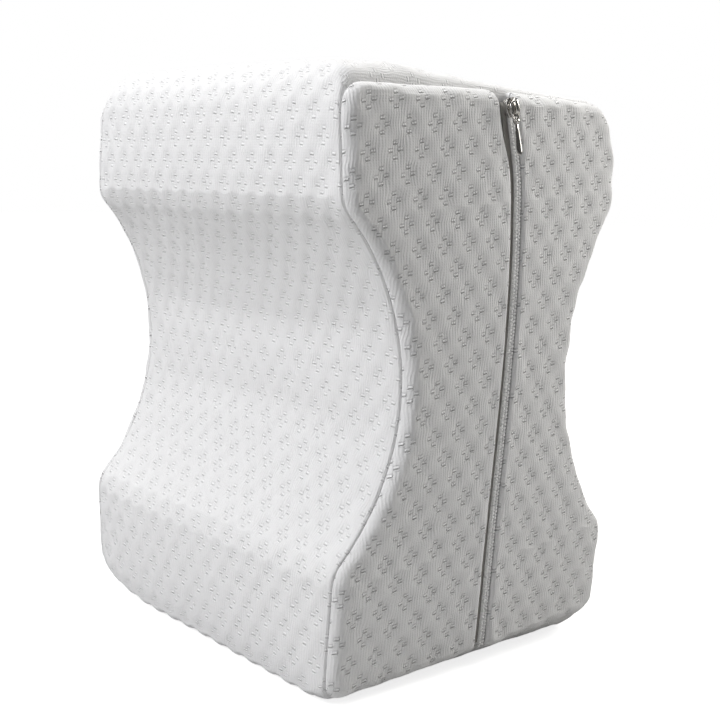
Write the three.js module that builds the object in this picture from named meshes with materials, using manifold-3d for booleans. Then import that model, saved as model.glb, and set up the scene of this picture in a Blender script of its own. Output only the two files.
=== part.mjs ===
// An hourglass knee cushion: a filled body of knitted cloth, a plain cloth panel over the far
// end, two half panels over the near end, and a zip that runs between the halves.
import * as THREE from "three";
import { mergeVertices } from "three/addons/utils/BufferGeometryUtils.js";
import Module from "manifold-3d";

// Sizes in millimetres: X across the cushion, Y along the legs, Z up, origin on the floor
const BLOCK_WIDTH = 160;
const WAIST_HEIGHT = 126;
const HOLLOW_RADIUS = 96;
const SHOULDER_RADIUS = 15;
const BODY_TOP = 245.5;

// Each side: how wide at the waist, how high its seam starts, and its corners
const LEFT = { side: -1, waist: 49.5, foot: 1, footCorner: 8, topCorner: 11 };
const RIGHT = { side: 1, waist: 48, foot: 7, footCorner: 12, topCorner: 8 };

// The right side is drawn in above its shoulder, and leans in towards the top
const TUCK = { from: 178, most: 200, to: 235, by: 3.5 };
const LEAN = { from: 218, by: 9.5 };

// The top swells above the end seams and the underside swells down to the floor
const SWELL_RISE = 24;
const SWELL_CORNER = 10;
const SWELL_BLOCK = 26;
const FLOOR_ZONE = 7;

// The far left foot curls up off the floor
const FOOT_CURL = { by: 8.5, reach: 48, height: 60 };

// The top swells more towards its far left, while the top seam is highest in the middle
const CROWN = { low: 2, more: 7.3, from: 17, over: 62, slope: 0.001 };
const TOP_WAVE = 1;
const TOP_WAVE_LENGTH = 180;

// The end seams: how far apart, how much they bow out at mid height, how deep they draw in
const SEAM_SPACING = 181;
const SEAM_BOW = 6;
const SEAM_DEPTH = 1.5;
const SEAM_DRAW = 7;

// The end faces: the roll from the seam to the face, then a slight crown
const ROLL_REACH = 7;
const FACE_EDGE_DEPTH = 5;
const FACE_CROWN = 2;
const PANEL_THICKNESS = 3.4;
const GAP = 0.3;

// The zip, whose line leans to the right as it rises and back to the left under the top
const ZIP_LINE = { foot: 2.8, bend: 50, straight: 210, top: 10.2 };
const ZIP_RETURN = { start: 205, end: 250, back: 5.3 };
const ZIP_BOTTOM = 8.1;
const ZIP_TOP = 240;
const SLOT = { left: 3.9, right: 2.6, cut: 30 };
const MOUTH = { start: 215, full: 228, left: 2.7, right: 1.2 };
const TAPE_THICKNESS = 0.8;
const CHAIN_WIDTH = 4.2;
const CHAIN_THICKNESS = 1.5;

// The metal pieces of the zip
const SLIDER_BOTTOM = 234;
const SLIDER_LENGTH = 8;
const SLIDER_WIDTH = 6.8;
const SLIDER_PLATE = 1.1;
const SLIDER_RAIL = 0.7;
const SLIDER_GRIP = 1;
const BRIDGE = { bottom: 1, length: 6.8, height: 2.7, strap: 0.8, width: 1.4 };
const LINK = { radius: 2.5, wire: 0.45, taller: 1.5 };
// The pull hangs this much above the middle of the wire, which curves up inside its collar
const PULL_LIFT = 0.08;
const PULL = { length: 13.9, wide: 3.3, narrow: 1.3, thickness: 0.9, collar: 1.4, bore: 0.9, wall: 0.45 };

const MATERIALS = {
  wrap: { color: 0xf1f1f2, roughness: 0.95, metalness: 0 },
  panel: { color: 0xeeeef0, roughness: 0.95, metalness: 0 },
  tape: { color: 0xc9c9cb, roughness: 0.9, metalness: 0 },
  chain: { color: 0xd6d6d7, roughness: 0.6, metalness: 0 },
  metal: { color: 0xb4b4b6, roughness: 0.2, metalness: 1 },
};

const wasm = await Module();
wasm.setup();

const lerp = THREE.MathUtils.lerp;
const part = new THREE.Group();

function addMesh(name, geometry, material, parent = part) {
  const mesh = new THREE.Mesh(geometry, new THREE.MeshStandardMaterial(MATERIALS[material]));
  mesh.name = name;
  parent.add(mesh);
  return mesh;
}

function toSolid(geometry) {
  const bare = geometry.clone();
  bare.deleteAttribute("normal");
  bare.deleteAttribute("uv");
  const merged = mergeVertices(bare, 1e-4);
  return new wasm.Manifold(new wasm.Mesh({
    numProp: 3,
    vertProperties: new Float32Array(merged.attributes.position.array),
    triVerts: new Uint32Array(merged.index.array),
  }));
}

function toGeometry(solid) {
  const mesh = solid.getMesh();
  const geometry = new THREE.BufferGeometry();
  geometry.setAttribute("position", new THREE.BufferAttribute(mesh.vertProperties, 3));
  geometry.setIndex(new THREE.BufferAttribute(mesh.triVerts, 1));
  geometry.computeVertexNormals();
  return geometry;
}

// An arc, and one side of the hourglass, foot to top, as points with their outward direction
function arc(centreX, centreZ, radius, from, to, steps, hollow = false) {
  const facing = hollow ? -1 : 1;
  return Array.from({ length: steps + 1 }, (_, i) => {
    const angle = lerp(from, to, i / steps);
    const [c, s] = [Math.cos(angle), Math.sin(angle)];
    return { x: centreX + radius * c, z: centreZ + radius * s, nx: facing * c, nz: facing * s };
  });
}

function sideOutline({ side, waist, foot, footCorner, topCorner }) {
  const half = BLOCK_WIDTH / 2;
  const hollowX = waist + HOLLOW_RADIUS;
  const shoulderX = half - SHOULDER_RADIUS;
  const reach = HOLLOW_RADIUS + SHOULDER_RADIUS;
  const turn = Math.acos((hollowX - shoulderX) / reach);
  const rise = reach * Math.sin(turn);
  const right = Math.PI / 2;
  const low = WAIST_HEIGHT - rise;
  const high = WAIST_HEIGHT + rise;
  const blockSide = (z) => ({ x: half, z, nx: 1, nz: 0 });
  const points = [
    ...arc(half - footCorner, foot + footCorner, footCorner, -right, 0, 4),
    blockSide((foot + footCorner + low) / 2),
    ...arc(shoulderX, low, SHOULDER_RADIUS, 0, turn, 3),
    ...arc(hollowX, WAIST_HEIGHT, HOLLOW_RADIUS, Math.PI + turn, Math.PI - turn, 10, true).slice(1, -1),
    ...arc(shoulderX, high, SHOULDER_RADIUS, -turn, 0, 3),
    blockSide((high + BODY_TOP - topCorner) / 2),
    ...arc(half - topCorner, BODY_TOP - topCorner, topCorner, 0, right, 4),
  ];
  const drawn = (z) => (side > 0 ? sideDraw(z) : 0);
  return points.map((p) => ({ x: side * (p.x - drawn(p.z)), z: p.z, nx: side * p.nx, nz: p.nz }));
}

function sideDraw(z) {
  const { smoothstep, clamp } = THREE.MathUtils;
  const tuck = smoothstep(z, TUCK.from, TUCK.most) * (1 - smoothstep(z, TUCK.most, TUCK.to));
  return TUCK.by * tuck + LEAN.by * clamp((z - LEAN.from) / (BODY_TOP - LEAN.from), 0, 1);
}

const LEFT_SIDE = sideOutline(LEFT);
const RIGHT_SIDE = sideOutline(RIGHT);
const COLUMNS = [0, 0.07, 0.2, 0.36, 0.5, 0.64, 0.8, 0.93, 1];

// Shares that are one at the top or at the floor, and fade to nothing within that block
function nearTop(z) {
  return THREE.MathUtils.smoothstep(z, BODY_TOP - SWELL_BLOCK, BODY_TOP);
}

function nearFloor(z) {
  return 1 - THREE.MathUtils.smoothstep(z, FLOOR_ZONE, SWELL_BLOCK);
}

function topWave(x, z) {
  return nearTop(z) * TOP_WAVE * Math.cos(2 * Math.PI * x / TOP_WAVE_LENGTH);
}

function crown(x, y) {
  const share = THREE.MathUtils.clamp((CROWN.from - x) / CROWN.over, 0, 1);
  return (CROWN.low + CROWN.more * share) * (1 + CROWN.slope * y);
}

// Rows of points straight across the hourglass, whose outline is drawn in by the inset
function crossRows(inset) {
  return LEFT_SIDE.map((left, k) => {
    const right = RIGHT_SIDE[k];
    return COLUMNS.map((f) => {
      const x = lerp(left.x - left.nx * inset, right.x - right.nx * inset, f);
      const z = lerp(left.z - left.nz * inset, right.z - right.nz * inset, f);
      return { x, z: z + topWave(x, z) };
    });
  });
}

// How much the far left foot is lifted, at a distance from the far seam
function footCurl(x, z, fromSeam) {
  const { smoothstep, clamp } = THREE.MathUtils;
  const along = 1 - clamp(fromSeam / FOOT_CURL.reach, 0, 1);
  const across = smoothstep(-x, 0, BLOCK_WIDTH / 2);
  return FOOT_CURL.by * along ** 2 * across * (1 - smoothstep(z, 0, FOOT_CURL.height));
}

// How far the seam lies from the middle of the length, at each height
function seamY(z) {
  return SEAM_SPACING / 2 + SEAM_BOW * Math.sin(Math.PI * THREE.MathUtils.clamp(z / BODY_TOP, 0, 1));
}

function faceDepth(x) {
  return FACE_EDGE_DEPTH + FACE_CROWN * (1 - (2 * x / BLOCK_WIDTH) ** 2);
}

// One layer of an end face: turn 0 is the seam and turn 1 the face, at a depth below its skin
function endLayer(end, turn, below) {
  const angle = turn * Math.PI / 2;
  const inset = SEAM_DEPTH + below + (ROLL_REACH - below) * (1 - Math.cos(angle));
  return crossRows(inset).map((row) => row.map(({ x, z }) => {
    const curl = end > 0 ? footCurl(x, z, 0) : 0;
    return new THREE.Vector3(x, end * (seamY(z) + (faceDepth(x) - below) * Math.sin(angle)), z + curl);
  }));
}

// The share of the swell at a place across the width: it falls away at the long edges
function swellShare(x) {
  const edge = THREE.MathUtils.clamp((BLOCK_WIDTH / 2 - Math.abs(x)) / SWELL_CORNER, 0, 1);
  return Math.sqrt(1 - (1 - edge) ** 2);
}

// One layer across the wrap, at a distance from the seam of that end
function wrapLayer(end, fromSeam) {
  const draw = 1 - Math.min(1, fromSeam / SEAM_DRAW);
  const rise = 1 - Math.min(1, fromSeam / SWELL_RISE);
  const swell = Math.sqrt(1 - rise ** 3);
  return crossRows(SEAM_DEPTH * draw ** 2).map((row) => row.map(({ x, z }) => {
    const y = end * (seamY(z) - fromSeam);
    const up = nearTop(z) * crown(x, y);
    const down = nearFloor(z) * z;
    const curl = end > 0 ? footCurl(x, z, fromSeam) : 0;
    const rises = (up - down) * swell * swellShare(x) + curl;
    return new THREE.Vector3(x, y, z + rises);
  }));
}

// The loop of points around a layer, and a closed solid through a stack of layers
function rim(layer) {
  const rows = layer.length;
  const wide = layer[0].length;
  return [
    ...Array.from({ length: wide - 1 }, (_, j) => [0, j]),
    ...Array.from({ length: rows - 1 }, (_, k) => [k, wide - 1]),
    ...Array.from({ length: wide - 1 }, (_, j) => [rows - 1, wide - 1 - j]),
    ...Array.from({ length: rows - 1 }, (_, k) => [rows - 1 - k, 0]),
  ].map(([k, j]) => layer[k][j]);
}

// Layers run towards -Y, so that the last face looks along -Y
function layeredSolid(layers) {
  const corners = [];
  const quad = (a, b, c, d) => corners.push(a, b, c, a, c, d);
  const face = (layer, flip) => {
    for (let k = 0; k + 1 < layer.length; k += 1) {
      for (let j = 0; j + 1 < layer[k].length; j += 1) {
        const around = [layer[k][j], layer[k][j + 1], layer[k + 1][j + 1], layer[k + 1][j]];
        quad(...(flip ? around.reverse() : around));
      }
    }
  };
  face(layers[0], true);
  face(layers[layers.length - 1], false);
  for (let i = 0; i + 1 < layers.length; i += 1) {
    const [back, front] = [rim(layers[i]), rim(layers[i + 1])];
    back.forEach((point, n) => {
      const next = (n + 1) % back.length;
      quad(front[n], point, back[next], front[next]);
    });
  }
  return new THREE.BufferGeometry().setFromPoints(corners);
}

const BELOW_PANEL = PANEL_THICKNESS + GAP;
const ROLL_TURNS = [0, 0.27, 0.6, 1];

function makeBody() {
  const nearSeam = [0, 1.5, 4, SEAM_DRAW, 12, SWELL_RISE];
  const endLayers = (end) => ROLL_TURNS.map((turn) => endLayer(end, turn, BELOW_PANEL));
  const layers = [
    ...endLayers(1).reverse(),
    ...[...nearSeam, 34, FOOT_CURL.reach].map((distance) => wrapLayer(1, distance)),
    ...nearSeam.map((distance) => wrapLayer(-1, distance)).reverse(),
    ...endLayers(-1),
  ];
  return layeredSolid(layers);
}

// A cloth panel over one end: its inner skin, then its outer skin, meeting at the seam
function makePanel(end) {
  const shift = (layer) => layer.map((row) => row.map((p) => new THREE.Vector3(p.x, p.y + end * GAP, p.z)));
  const inner = ROLL_TURNS.map((turn) => shift(endLayer(end, turn, PANEL_THICKNESS))).reverse();
  const outer = ROLL_TURNS.map((turn) => shift(endLayer(end, turn, 0)));
  const layers = [...inner, ...outer];
  return layeredSolid(end < 0 ? layers : layers.reverse());
}

// The zip's line: where its chain lies across the face at each height
function zipX(z) {
  const { foot, bend, straight, top } = ZIP_LINE;
  const { start, end, back } = ZIP_RETURN;
  const { smoothstep } = THREE.MathUtils;
  return lerp(foot, top, smoothstep(z, bend, straight)) - back * smoothstep(z, start, end);
}

// The near face's Y at the zip's line, at a depth below the skin of the panels
function nearY(z, below) {
  const lowest = lerp(LEFT.foot, RIGHT.foot, 0.5) + SEAM_DEPTH + below;
  const highest = BODY_TOP + topWave(zipX(z), BODY_TOP) - SEAM_DEPTH - below;
  const inward = THREE.MathUtils.clamp(Math.min(z - lowest, highest - z) / (ROLL_REACH - below), 0, 1);
  const turned = Math.sqrt(1 - (1 - inward) ** 2);
  return -(seamY(z) + GAP + (faceDepth(zipX(z)) - below) * turned);
}

function zipHeights(bottom, top) {
  const steps = [0, 0.01, 0.025, 0.06, 0.12, 0.2, 0.28, 0.36, 0.44, 0.52, 0.6, 0.68, 0.76, 0.83,
    0.88, 0.91, 0.94, 0.96, 0.975, 0.99, 1];
  return steps.map((share) => lerp(bottom, top, share));
}

// A strip along the zip's line, between two distances from it
function makeRibbon(from, to, below, thickness) {
  const skin = (depth) => zipHeights(ZIP_BOTTOM, ZIP_TOP).map((z) =>
    [from, to].map((across) => new THREE.Vector3(zipX(z) + across, nearY(z, depth), z)));
  return layeredSolid([skin(below), skin(below - thickness)]);
}

// The slot between the half panels, with its wider mouth around the slider
function makeSlot() {
  const heights = [-SLOT.cut, ...zipHeights(ZIP_BOTTOM, ZIP_TOP), BODY_TOP + SLOT.cut];
  const mouth = (z) => THREE.MathUtils.smoothstep(z, MOUTH.start, MOUTH.full);
  const shape = new THREE.Shape([
    ...heights.map((z) => new THREE.Vector2(zipX(z) + SLOT.right + MOUTH.right * mouth(z), z)),
    ...[...heights].reverse().map((z) =>
      new THREE.Vector2(zipX(z) - SLOT.left - MOUTH.left * mouth(z), z)),
  ]);
  const slot = new THREE.ExtrudeGeometry(shape, { depth: 2 * SLOT.cut, bevelEnabled: false });
  slot.rotateX(Math.PI / 2);
  slot.translate(0, SLOT.cut - SEAM_SPACING / 2, 0);
  return slot;
}

// A box between two corners
function block(from, to) {
  const size = new THREE.Vector3().subVectors(to, from);
  const box = new THREE.BoxGeometry(size.x, size.y, size.z);
  return box.translate(...new THREE.Vector3().addVectors(from, to).multiplyScalar(0.5).toArray());
}

// The slider in its own place: X across, -Y outwards from the chain's skin, Z up from its foot
function makeSlider() {
  const half = SLIDER_WIDTH / 2;
  const plate = block(new THREE.Vector3(-half, -GAP - SLIDER_PLATE, 0),
    new THREE.Vector3(half, -GAP, SLIDER_LENGTH));
  const rails = [-1, 1].map((side) => block(
    new THREE.Vector3(side > 0 ? half - SLIDER_RAIL : -half, -GAP - SLIDER_PLATE / 2, 0),
    new THREE.Vector3(side > 0 ? half : SLIDER_RAIL - half, SLIDER_GRIP, SLIDER_LENGTH)));
  const foot = BRIDGE.bottom;
  const base = GAP + SLIDER_PLATE / 2;
  const out = GAP + SLIDER_PLATE + BRIDGE.height;
  const corner = BRIDGE.strap;
  const side = new THREE.Shape([
    [foot, base], [foot + BRIDGE.length, base], [foot + BRIDGE.length, out - corner],
    [foot + BRIDGE.length - corner, out], [foot + corner, out], [foot, out - corner],
  ].map(([z, y]) => new THREE.Vector2(z, y)));
  const hole = new THREE.Path([
    [foot + corner, GAP + SLIDER_PLATE], [foot + BRIDGE.length - corner, GAP + SLIDER_PLATE],
    [foot + BRIDGE.length - corner, out - corner], [foot + corner, out - corner],
  ].map(([z, y]) => new THREE.Vector2(z, y)));
  side.holes.push(hole);
  const bridge = new THREE.ExtrudeGeometry(side, { depth: BRIDGE.width, bevelEnabled: false });
  bridge.translate(0, 0, -BRIDGE.width / 2);
  bridge.applyMatrix4(new THREE.Matrix4().makeBasis(
    new THREE.Vector3(0, 0, 1), new THREE.Vector3(0, -1, 0), new THREE.Vector3(1, 0, 0)));
  const pieces = [plate, ...rails, bridge].map(toSolid);
  return toGeometry(pieces.reduce((whole, piece) => whole.add(piece)));
}

// The link: a ring whose wire keeps its roundness where the ring is made taller
function makeLink() {
  const ring = new THREE.TorusGeometry(LINK.radius, LINK.wire, 8, 24);
  ring.rotateX(Math.PI / 2);
  const points = ring.attributes.position;
  for (let i = 0; i < points.count; i += 1) {
    const [x, z] = [points.getX(i), points.getZ(i)];
    points.setZ(i, z + LINK.taller * z / Math.hypot(x, z));
  }
  ring.computeVertexNormals();
  return ring;
}

// The pull: a drop-shaped plate under a collar that the link passes through
function makePull() {
  const { narrow, wide, length, thickness, collar, bore, wall } = PULL;
  const drop = new THREE.Shape();
  drop.moveTo(-narrow / 2, -bore);
  drop.lineTo(-wide / 2, -length + wide / 2);
  drop.absarc(0, -length + wide / 2, wide / 2, Math.PI, 2 * Math.PI, false);
  drop.lineTo(narrow / 2, -bore);
  const flat = { depth: thickness, bevelEnabled: false, curveSegments: 10 };
  const plate = new THREE.ExtrudeGeometry(drop, flat);
  plate.translate(0, 0, -thickness / 2);
  plate.rotateX(Math.PI / 2);
  const tube = new THREE.Shape().absarc(0, 0, bore + wall, 0, 2 * Math.PI, false);
  tube.holes.push(new THREE.Path().absarc(0, 0, bore, 0, 2 * Math.PI, true));
  const ring = new THREE.ExtrudeGeometry(tube, { depth: collar, bevelEnabled: false, curveSegments: 8 });
  ring.translate(0, 0, -collar / 2);
  ring.rotateY(Math.PI / 2);
  return toGeometry(toSolid(plate).add(toSolid(ring)));
}

addMesh("cushion_body", makeBody(), "wrap");
addMesh("back_panel", makePanel(1), "panel");
const halves = toSolid(makePanel(-1)).subtract(toSolid(makeSlot())).decompose();
halves.sort((a, b) => a.boundingBox().min[0] - b.boundingBox().min[0]);
addMesh("front_panel_left", toGeometry(halves[0]), "panel");
addMesh("front_panel_right", toGeometry(halves[1]), "panel");

const CHAIN_BELOW = PANEL_THICKNESS - TAPE_THICKNESS - GAP;
const chainHalf = CHAIN_WIDTH / 2;
addMesh("zip_tape", makeRibbon(GAP - SLOT.left, SLOT.right - GAP, PANEL_THICKNESS, TAPE_THICKNESS), "tape");
addMesh("zip_chain", makeRibbon(-chainHalf, chainHalf, CHAIN_BELOW, CHAIN_THICKNESS), "chain");

// The metal pieces hang in line with the chain, on its skin
const CHAIN_SKIN = CHAIN_BELOW - CHAIN_THICKNESS;
const climb = SLIDER_LENGTH / 2;
const leanIn = nearY(SLIDER_BOTTOM + climb, CHAIN_SKIN) - nearY(SLIDER_BOTTOM, CHAIN_SKIN);
const leanAcross = zipX(SLIDER_BOTTOM + climb) - zipX(SLIDER_BOTTOM);
const metal = new THREE.Group();
metal.position.set(zipX(SLIDER_BOTTOM), nearY(SLIDER_BOTTOM, CHAIN_SKIN), SLIDER_BOTTOM);
metal.rotation.set(-Math.atan2(leanIn, climb), Math.atan2(leanAcross, climb), 0, "YXZ");
part.add(metal);
addMesh("zip_slider", makeSlider(), "metal", metal);

const linkOut = GAP + SLIDER_PLATE + (BRIDGE.height - BRIDGE.strap) / 2;
const linkTop = BRIDGE.bottom + BRIDGE.length - BRIDGE.strap - GAP - LINK.wire;
const linkReach = LINK.radius + LINK.taller;
const linkCentre = linkTop - linkReach;
addMesh("zip_link", makeLink(), "metal", metal).position.set(0, -linkOut, linkCentre);
const pull = addMesh("zip_pull", makePull(), "metal", metal);
pull.position.set(0, -linkOut, linkCentre - linkReach + PULL_LIFT);

export default part;
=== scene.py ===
"""An hourglass knee cushion in a white padded knit cover, dressed over its fixed frame."""
import math

import bmesh
import bpy
import numpy as np
from mathutils import Matrix, Vector, noise


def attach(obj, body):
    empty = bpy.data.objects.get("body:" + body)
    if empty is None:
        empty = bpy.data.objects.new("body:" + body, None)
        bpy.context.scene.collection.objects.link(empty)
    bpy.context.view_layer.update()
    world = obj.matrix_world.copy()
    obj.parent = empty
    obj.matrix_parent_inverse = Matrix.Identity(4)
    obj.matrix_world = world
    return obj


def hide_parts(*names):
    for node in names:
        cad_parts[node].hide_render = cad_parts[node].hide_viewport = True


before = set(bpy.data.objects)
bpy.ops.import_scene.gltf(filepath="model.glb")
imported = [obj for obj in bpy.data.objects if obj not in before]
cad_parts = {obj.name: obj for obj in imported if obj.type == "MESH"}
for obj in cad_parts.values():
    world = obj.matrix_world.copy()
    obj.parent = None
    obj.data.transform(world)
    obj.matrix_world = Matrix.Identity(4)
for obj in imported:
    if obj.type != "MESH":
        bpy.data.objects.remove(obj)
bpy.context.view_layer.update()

bl_info = {
    "name": "Knee Cushion",
    "version": (1, 0, 0),
    "blender": (4, 5, 0),
    "location": "3D View > Sidebar > Knee Cushion",
    "description": "Builds a knitted knee cushion with its end panels and its zip",
    "category": "Object",
}

MM = 0.001

# The hourglass, in millimetres: X across, Y along the legs, Z up
BLOCK_WIDTH = 160
WAIST_HEIGHT = 126
HOLLOW_RADIUS = 96
SHOULDER_RADIUS = 15
BODY_TOP = 245.5
LEFT = {"side": -1, "waist": 49.5, "foot": 1, "foot_corner": 8, "top_corner": 11}
RIGHT = {"side": 1, "waist": 48, "foot": 7, "foot_corner": 12, "top_corner": 8}

# The right side is drawn in above its shoulder and leans in towards the top
TUCK = {"start": 178, "most": 200, "end": 235, "by": 3.5}
LEAN = {"start": 218, "by": 9.5}

# The top and the underside swell, and the far left foot curls up off the floor
SWELL_RISE, SWELL_CORNER, SWELL_BLOCK, FLOOR_ZONE = 24, 10, 26, 7
CROWN = {"low": 2, "more": 7.3, "start": 17, "over": 62, "slope": 0.001}
TOP_WAVE, TOP_WAVE_LENGTH = 1, 180
FOOT_CURL = {"by": 8.5, "reach": 48, "height": 60}

# The end seams and the end panels
SEAM_SPACING = 181
SEAM_BOW = 6
SEAM_DEPTH = 1.5
SEAM_DRAW = 7
ROLL_REACH = 5.2
FACE_EDGE_DEPTH = 5
FACE_CROWN = 2
PANEL_THICKNESS = 3.4
SEAM_GAP = 0.3

# The zip's line, its slot between the half panels and its metal pieces
ZIP_LINE = {"foot": 2.8, "bend": 50, "straight": 210, "top": 10.2}
ZIP_RETURN = {"start": 205, "end": 250, "back": 5.3}
ZIP_BOTTOM, ZIP_TOP = 8.1, 240
SLOT = {"left": 3.9, "right": 2.6}
MOUTH = {"start": 215, "full": 228, "left": 2.7, "right": 1.2}
SLIDER_BOTTOM, SLIDER_LENGTH = 234, 8
CHAIN_SKIN = 0.8

# How many parts each stretch of the outline is divided into, foot to top
OUTLINE_PARTS = {"foot": 4, "low_block": 4, "shoulder": 4, "hollow": 16, "high_block": 4, "top": 4}
COLUMNS = 25


def clamp(value):
    return min(1.0, max(0.0, value))


def lerp(start, end, share):
    return start + (end - start) * share


def smoothstep(value, low, high):
    t = clamp((value - low) / (high - low))
    return t * t * (3 - 2 * t)


def arc(centre_x, centre_z, radius, start, end, parts, facing=1):
    """Points on an arc, each with the direction that faces out of the cushion."""
    points = []
    for i in range(parts + 1):
        angle = lerp(start, end, i / parts)
        c, s = math.cos(angle), math.sin(angle)
        points.append((centre_x + radius * c, centre_z + radius * s, facing * c, facing * s))
    return points


def side_outline(side, waist, foot, foot_corner, top_corner):
    """One side of the hourglass from its foot to its top: (x, z, outward x, outward z)."""
    half = BLOCK_WIDTH / 2
    hollow_x = waist + HOLLOW_RADIUS
    shoulder_x = half - SHOULDER_RADIUS
    reach = HOLLOW_RADIUS + SHOULDER_RADIUS
    turn = math.acos((hollow_x - shoulder_x) / reach)
    rise = reach * math.sin(turn)
    low, high = WAIST_HEIGHT - rise, WAIST_HEIGHT + rise
    parts = OUTLINE_PARTS

    def block_side(start, end, count):
        return [(half, lerp(start, end, i / count), 1.0, 0.0) for i in range(1, count)]

    right = math.pi / 2
    points = arc(half - foot_corner, foot + foot_corner, foot_corner, -right, 0, parts["foot"])
    points += block_side(foot + foot_corner, low, parts["low_block"])
    points += arc(shoulder_x, low, SHOULDER_RADIUS, 0, turn, parts["shoulder"])
    points += arc(hollow_x, WAIST_HEIGHT, HOLLOW_RADIUS, math.pi + turn, math.pi - turn,
                  parts["hollow"], -1)[1:-1]
    points += arc(shoulder_x, high, SHOULDER_RADIUS, -turn, 0, parts["shoulder"])
    points += block_side(high, BODY_TOP - top_corner, parts["high_block"])
    points += arc(half - top_corner, BODY_TOP - top_corner, top_corner, 0, right, parts["top"])
    return [(side * (x - (side_draw(z) if side > 0 else 0)), z, side * nx, nz)
            for x, z, nx, nz in points]


def side_draw(z):
    """How far the right side is drawn in at a height."""
    tuck = smoothstep(z, TUCK["start"], TUCK["most"])
    tuck *= 1 - smoothstep(z, TUCK["most"], TUCK["end"])
    lean = clamp((z - LEAN["start"]) / (BODY_TOP - LEAN["start"]))
    return TUCK["by"] * tuck + LEAN["by"] * lean


LEFT_SIDE = side_outline(**LEFT)
RIGHT_SIDE = side_outline(**RIGHT)
ROWS = len(LEFT_SIDE) - 1


def near_top(z):
    return smoothstep(z, BODY_TOP - SWELL_BLOCK, BODY_TOP)


def near_floor(z):
    return 1 - smoothstep(z, FLOOR_ZONE, SWELL_BLOCK)


def top_wave(x, z):
    return near_top(z) * TOP_WAVE * math.cos(2 * math.pi * x / TOP_WAVE_LENGTH)


def crown(x, y):
    share = clamp((CROWN["start"] - x) / CROWN["over"])
    return (CROWN["low"] + CROWN["more"] * share) * (1 + CROWN["slope"] * y)


def foot_curl(x, z, from_seam):
    """How much the far left foot is lifted, at a distance from the far seam."""
    along = 1 - clamp(from_seam / FOOT_CURL["reach"])
    sideways = smoothstep(-x, 0, BLOCK_WIDTH / 2)
    return FOOT_CURL["by"] * along ** 2 * sideways * (1 - smoothstep(z, 0, FOOT_CURL["height"]))


def across(row, share, inset):
    """A point of the hourglass on a row and at a share of the width, drawn in by the inset."""
    lx, lz, lnx, lnz = LEFT_SIDE[row]
    rx, rz, rnx, rnz = RIGHT_SIDE[row]
    x = lerp(lx - lnx * inset, rx - rnx * inset, share)
    z = lerp(lz - lnz * inset, rz - rnz * inset, share)
    return x, z + top_wave(x, z)


def outward(row, share):
    """The direction out of the hourglass at a place on its outline."""
    if share in (0, 1):
        nx, nz = (LEFT_SIDE if share == 0 else RIGHT_SIDE)[row][2:]
        return nx, nz
    return 0.0, (1.0 if row else -1.0)


def seam_y(z):
    return SEAM_SPACING / 2 + SEAM_BOW * math.sin(math.pi * clamp(z / BODY_TOP))


def face_depth(x):
    return FACE_EDGE_DEPTH + FACE_CROWN * (1 - (2 * x / BLOCK_WIDTH) ** 2)


def swell_share(x):
    edge = clamp((BLOCK_WIDTH / 2 - abs(x)) / SWELL_CORNER)
    return math.sqrt(1 - (1 - edge) ** 2)


def wrap_point(row, share, end, from_seam, slack=0.0):
    """A point of the wrap, at a distance from the seam of that end."""
    draw = 1 - min(1.0, from_seam / SEAM_DRAW)
    rise = 1 - min(1.0, from_seam / SWELL_RISE)
    swell = math.sqrt(1 - rise ** 3)
    x, z = across(row, share, SEAM_DEPTH * draw ** 2 + slack * swell)
    y = end * (seam_y(z) - from_seam)
    up = near_top(z) * crown(x, y)
    down = near_floor(z) * z
    curl = foot_curl(x, z, from_seam) if end > 0 else 0
    return Vector((x, y, z + (up - down) * swell * swell_share(x) + curl))


def panel_point(row, share, end, turn, below):
    """A point of an end panel: turn 0 is the seam and turn 1 the face."""
    angle = turn * math.pi / 2
    inset = SEAM_DEPTH + below + (ROLL_REACH - below) * (1 - math.cos(angle))
    x, z = across(row, share, inset)
    depth = (face_depth(x) - below) * math.sin(angle)
    curl = foot_curl(x, z, 0) if end > 0 else 0
    return Vector((x, end * (seam_y(z) + SEAM_GAP + depth), z + curl))


def zip_x(z):
    line, turn = ZIP_LINE, ZIP_RETURN
    straight = lerp(line["foot"], line["top"], smoothstep(z, line["bend"], line["straight"]))
    return straight - turn["back"] * smoothstep(z, turn["start"], turn["end"])


def near_y(z, below):
    """How far the near face lies along Y on the zip's line, at a depth below the panels' skin."""
    lowest = (LEFT["foot"] + RIGHT["foot"]) / 2 + SEAM_DEPTH + below
    highest = BODY_TOP + top_wave(zip_x(z), BODY_TOP) - SEAM_DEPTH - below
    inward = clamp(min(z - lowest, highest - z) / (ROLL_REACH - below))
    turned = math.sqrt(1 - (1 - inward) ** 2)
    return -(seam_y(z) + SEAM_GAP + (face_depth(zip_x(z)) - below) * turned)


def slot_x(z, side):
    """Where the edge of a half panel runs beside the zip."""
    mouth = smoothstep(z, MOUTH["start"], MOUTH["full"])
    if side > 0:
        return zip_x(z) + SLOT["right"] + MOUTH["right"] * mouth
    return zip_x(z) - SLOT["left"] - MOUTH["left"] * mouth


def extrude_rim(bm, edges):
    """Extrude open edges, and return the fresh vertices and the edges between them."""
    made = bmesh.ops.extrude_edge_only(bm, edges=edges)["geom"]
    fresh = {item for item in made if isinstance(item, bmesh.types.BMVert)}
    rim = [item for item in made if isinstance(item, bmesh.types.BMEdge)
           and item.verts[0] in fresh and item.verts[1] in fresh]
    return fresh, rim


def new_piece(bm, name, material):
    """Write a bmesh in millimetres to a new smooth object in metres."""
    bmesh.ops.scale(bm, vec=(MM, MM, MM), verts=bm.verts)
    mesh = bpy.data.meshes.new(name)
    bm.to_mesh(mesh)
    bm.free()
    piece = bpy.data.objects.new(name, mesh)
    bpy.context.scene.collection.objects.link(piece)
    mesh.materials.append(material)
    mesh.polygons.foreach_set("use_smooth", [True] * len(mesh.polygons))
    return piece


def place_on(piece, node):
    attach(piece, "root")
    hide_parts(node)


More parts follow.
